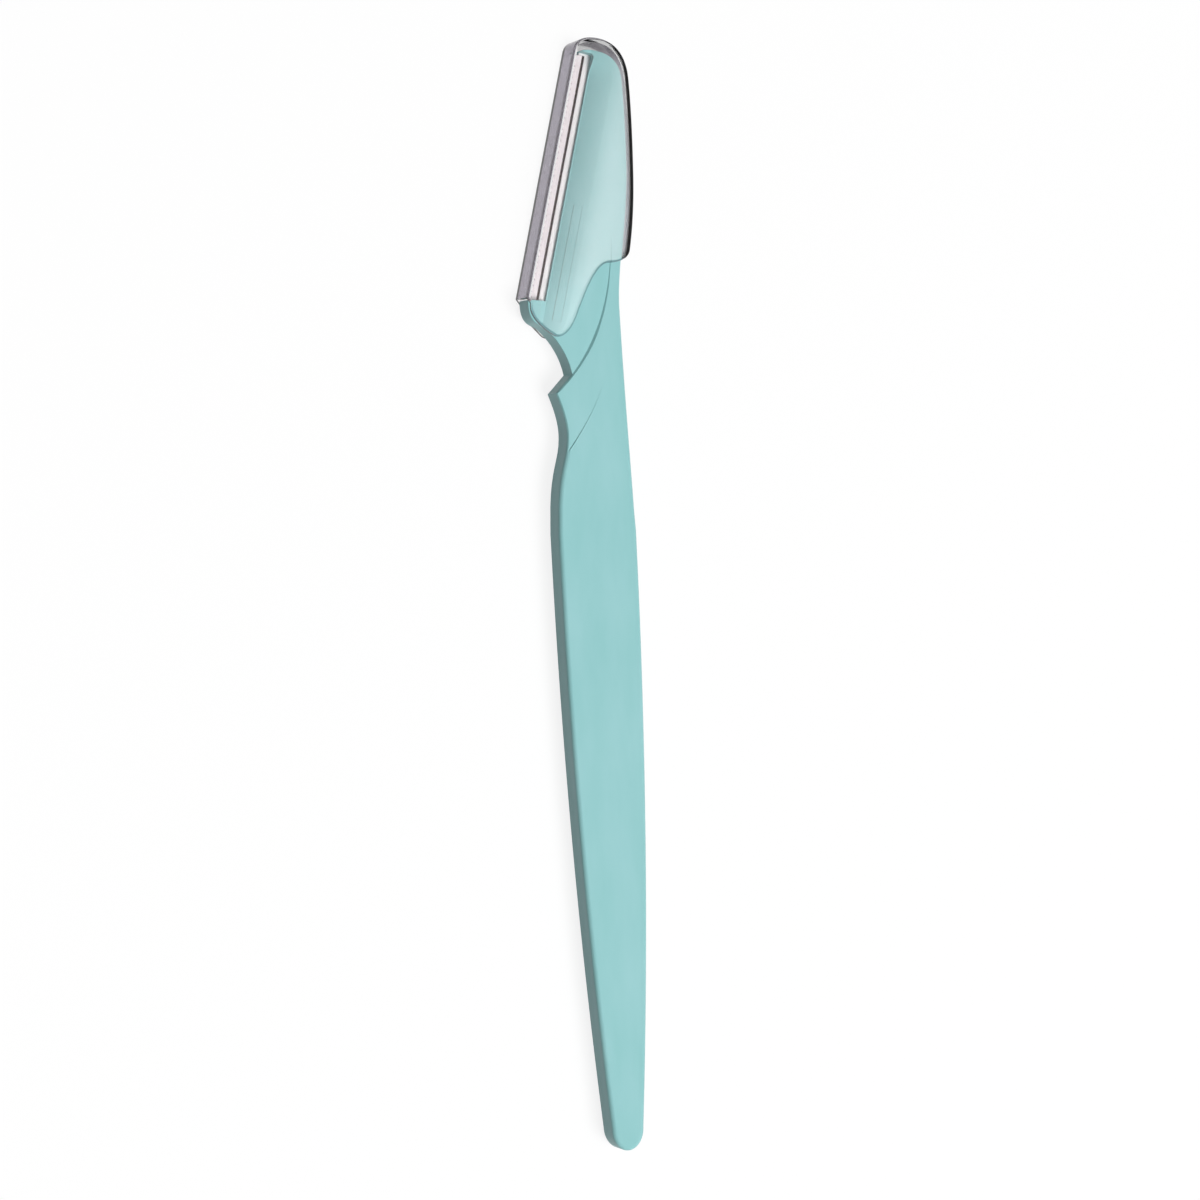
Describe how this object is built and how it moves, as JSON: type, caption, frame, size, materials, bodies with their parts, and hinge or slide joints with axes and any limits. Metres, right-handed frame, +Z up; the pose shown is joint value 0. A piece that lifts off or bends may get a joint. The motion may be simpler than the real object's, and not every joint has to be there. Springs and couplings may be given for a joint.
{
  "type": "eyebrow razor",
  "caption": "Slim eyebrow razor lying flat: a tapered moulded handle with petal-stepped neck, a guarded steel blade in an angled head, and a clear push-on cap.",
  "frame": {"origin": "middle of the outline seen from above, on the ground under the cap, with the razor lying flat", "axes": "+Y along the handle from the butt to the blade, +Z up through the broad faces, cutting edge towards -X"},
  "size_m": [0.0164, 0.1505, 0.0053],
  "materials": {
    "handle_plastic": "satin moulded teal",
    "blade_steel": "ground stainless strip",
    "guard_steel": "bright folded foil",
    "carrier_steel": "bright folded strip",
    "cap_plastic": "clear polished"
  },
  "bodies": {
    "razor": {"handle": "handle_plastic", "blade": "blade_steel", "edge_guard": "guard_steel", "blade_carrier": "carrier_steel"},
    "cap": {"cap": "cap_plastic"}
  },
  "joints": [
    {"name": "cap_slide", "type": "slide", "parent": "razor", "child": "cap", "axis": [0.2504, 0.9681, 0], "range_m": [0, 0.042]}
  ]
}
